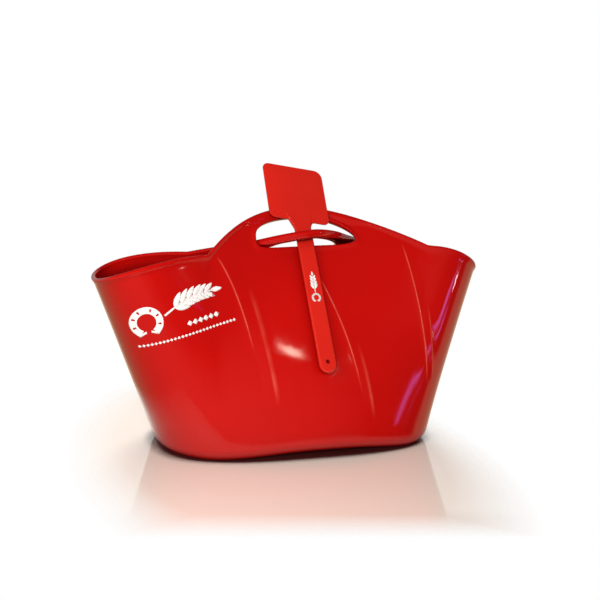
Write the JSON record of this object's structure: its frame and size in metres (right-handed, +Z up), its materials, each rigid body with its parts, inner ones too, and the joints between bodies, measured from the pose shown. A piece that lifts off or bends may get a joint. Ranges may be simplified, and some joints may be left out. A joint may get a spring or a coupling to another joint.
{
  "type": "feed bucket",
  "caption": "Flexible horse feed tub squeezed shut, one hand grip pulled through the other and toggled with the mixing spatula.",
  "frame": {"origin": "middle of the flat floor that the bucket rests on", "axes": "+Z up; +X along the bucket's length towards its right end; -Y is the front, the side the spatula lies on"},
  "size_m": [0.4509, 0.2084, 0.3161],
  "materials": {
    "tub_plastic": "glossy flexible polyethylene, bright red",
    "spatula_plastic": "semi-gloss stiff polypropylene, slightly lighter red"
  },
  "bodies": {
    "tub_body": {"tub": "tub_plastic"},
    "spatula_body": {"spatula": "spatula_plastic"}
  },
  "joints": [
    {"name": "spatula_slide", "type": "slide", "parent": "tub_body", "child": "spatula_body", "axis": [-0.0244, 0.405, 0.914], "range_m": [0, 0.165]}
  ]
}
